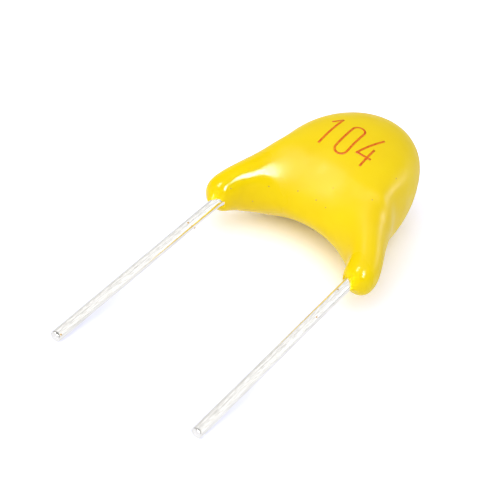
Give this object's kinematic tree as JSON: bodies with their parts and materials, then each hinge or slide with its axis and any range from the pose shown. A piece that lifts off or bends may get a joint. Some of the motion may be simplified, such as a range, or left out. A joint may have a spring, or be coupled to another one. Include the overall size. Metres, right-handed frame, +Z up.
{
  "type": "multilayer ceramic capacitor",
  "caption": "Radial multilayer ceramic capacitor: a pillow-shaped yellow resin body with two legs and an arch between them, on straight round wire leads.",
  "frame": {"origin": "on the surface that the part lies on, under the centre of its bounding box", "axes": "+X across the leads from the left lead to the right one, +Y from the lead tips to the crown of the resin body, +Z up"},
  "size_m": [0.0064, 0.0138, 0.0034],
  "materials": {
    "coating": "glossy dipped resin",
    "lead": "bright tinned wire",
    "solder": "satin solder",
    "termination": "matt plated metal",
    "ceramic": "matt sintered ceramic",
    "electrode": "matt fired metal"
  },
  "bodies": {
    "root": {"epoxy_coating": "coating", "lead_left": "lead", "lead_right": "lead", "solder_left": "solder", "solder_right": "solder", "termination_left": "termination", "termination_right": "termination", "ceramic_body": "ceramic", "electrode_1": "electrode", "electrode_2": "electrode", "electrode_3": "electrode", "electrode_4": "electrode", "electrode_5": "electrode", "electrode_6": "electrode", "electrode_7": "electrode", "electrode_8": "electrode", "electrode_9": "electrode", "electrode_10": "electrode", "electrode_11": "electrode", "electrode_12": "electrode"}
  },
  "joints": []
}
